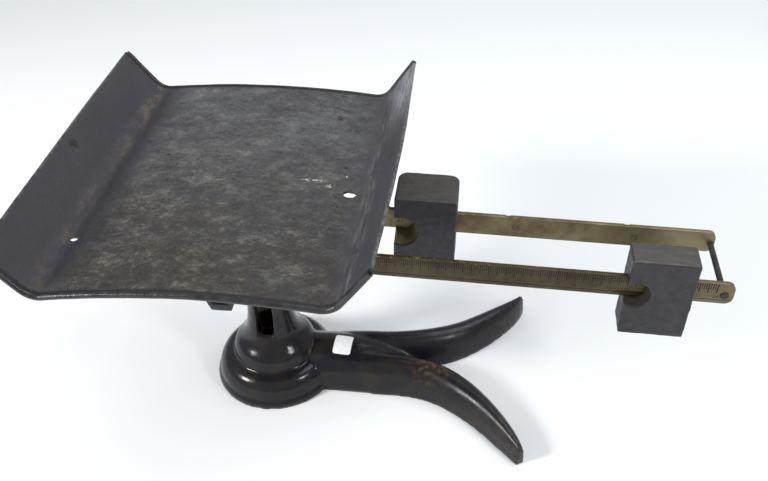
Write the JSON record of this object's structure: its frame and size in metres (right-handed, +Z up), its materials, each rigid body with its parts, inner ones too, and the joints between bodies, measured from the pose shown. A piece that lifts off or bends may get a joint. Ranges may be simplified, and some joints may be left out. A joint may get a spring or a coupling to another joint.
{
  "type": "counter platform scale",
  "caption": "Counter-top platform weighing scale with a bent sheet tray, a bell-footed pedestal with forked legs, and parallel beam bars carrying sliding poises.",
  "frame": {"origin": "on the floor, under the middle of the whole object's bounding box", "axes": "+X runs along the beam from the tray to the beam's free end, +Z is up, and the graduated front bar is on the -Y side"},
  "size_m": [0.7054, 0.39, 0.3309],
  "materials": {
    "japanned_iron": "glossy black japan over cast iron, worn on the ridges",
    "hard_steel": "ground and hardened steel",
    "plain_steel": "turned steel, dulled",
    "aged_brass": "rolled brass with a brown patina",
    "black_iron": "cast iron with matt black paint",
    "poise_iron": "cast iron with worn dark paint",
    "lead": "dull poured lead",
    "tray_iron": "dark patinated sheet iron, rubbed grey-brown on the bed"
  },
  "bodies": {
    "base": {"base_casting": "japanned_iron", "fulcrum_bearing_front": "hard_steel", "fulcrum_bearing_rear": "hard_steel", "check_bar": "plain_steel", "check_bar_screws": "plain_steel", "check_pin_fixed": "plain_steel"},
    "beam": {"beam_yoke": "black_iron", "front_bar": "aged_brass", "rear_bar": "aged_brass", "fulcrum_knife_front": "hard_steel", "fulcrum_knife_rear": "hard_steel", "load_knife_front": "hard_steel", "load_knife_rear": "hard_steel", "bar_rivets_front": "plain_steel", "bar_rivets_rear": "plain_steel", "tie_rod": "plain_steel", "balance_screw": "plain_steel"},
    "balance_nut": {"balance_nut": "aged_brass"},
    "front_poise": {"front_poise": "poise_iron", "front_poise_plug": "lead"},
    "rear_poise": {"rear_poise": "poise_iron", "rear_poise_plug": "lead"},
    "platform": {"platform_tray": "tray_iron", "tray_rivets": "plain_steel", "tray_carrier": "black_iron", "hanger_front": "black_iron", "hanger_rear": "black_iron", "load_bearing_front": "hard_steel", "load_bearing_rear": "hard_steel", "hanger_screws": "plain_steel", "stem": "plain_steel", "stem_nut": "plain_steel"},
    "check_link": {"check_link_plates": "plain_steel", "check_pin_stem": "plain_steel"}
  },
  "joints": [
    {"name": "beam_tilt", "type": "hinge", "parent": "base", "child": "beam", "pos_m": [-0.1439, 0, 0.2148], "axis": [0, -1, 0], "range_deg": [0, 4.5]},
    {"name": "platform_level", "type": "hinge", "parent": "beam", "child": "platform", "pos_m": [-0.17088, 0, 0.21588], "axis": [0, -1, 0], "range_deg": [-4.6, 0.1]},
    {"name": "check_link_swing", "type": "hinge", "parent": "base", "child": "check_link", "pos_m": [-0.1439, 0, 0.05], "axis": [0, -1, 0], "range_deg": [-0.1, 4.6]},
    {"name": "front_poise_slide", "type": "slide", "parent": "beam", "child": "front_poise", "axis": [0.9992, 0, -0.0401], "range_m": [-0.3245, 0.028]},
    {"name": "rear_poise_slide", "type": "slide", "parent": "beam", "child": "rear_poise", "axis": [0.9992, 0, -0.0401], "range_m": [-0.0785, 0.271]},
    {"name": "balance_nut_slide", "type": "slide", "parent": "beam", "child": "balance_nut", "axis": [0.9992, 0, -0.0401], "range_m": [-0.013, 0.013]}
  ],
  "couplings": [
    {"joint": "platform_level", "follows": "beam_tilt", "ratio": -1},
    {"joint": "check_link_swing", "follows": "beam_tilt", "ratio": 1}
  ]
}
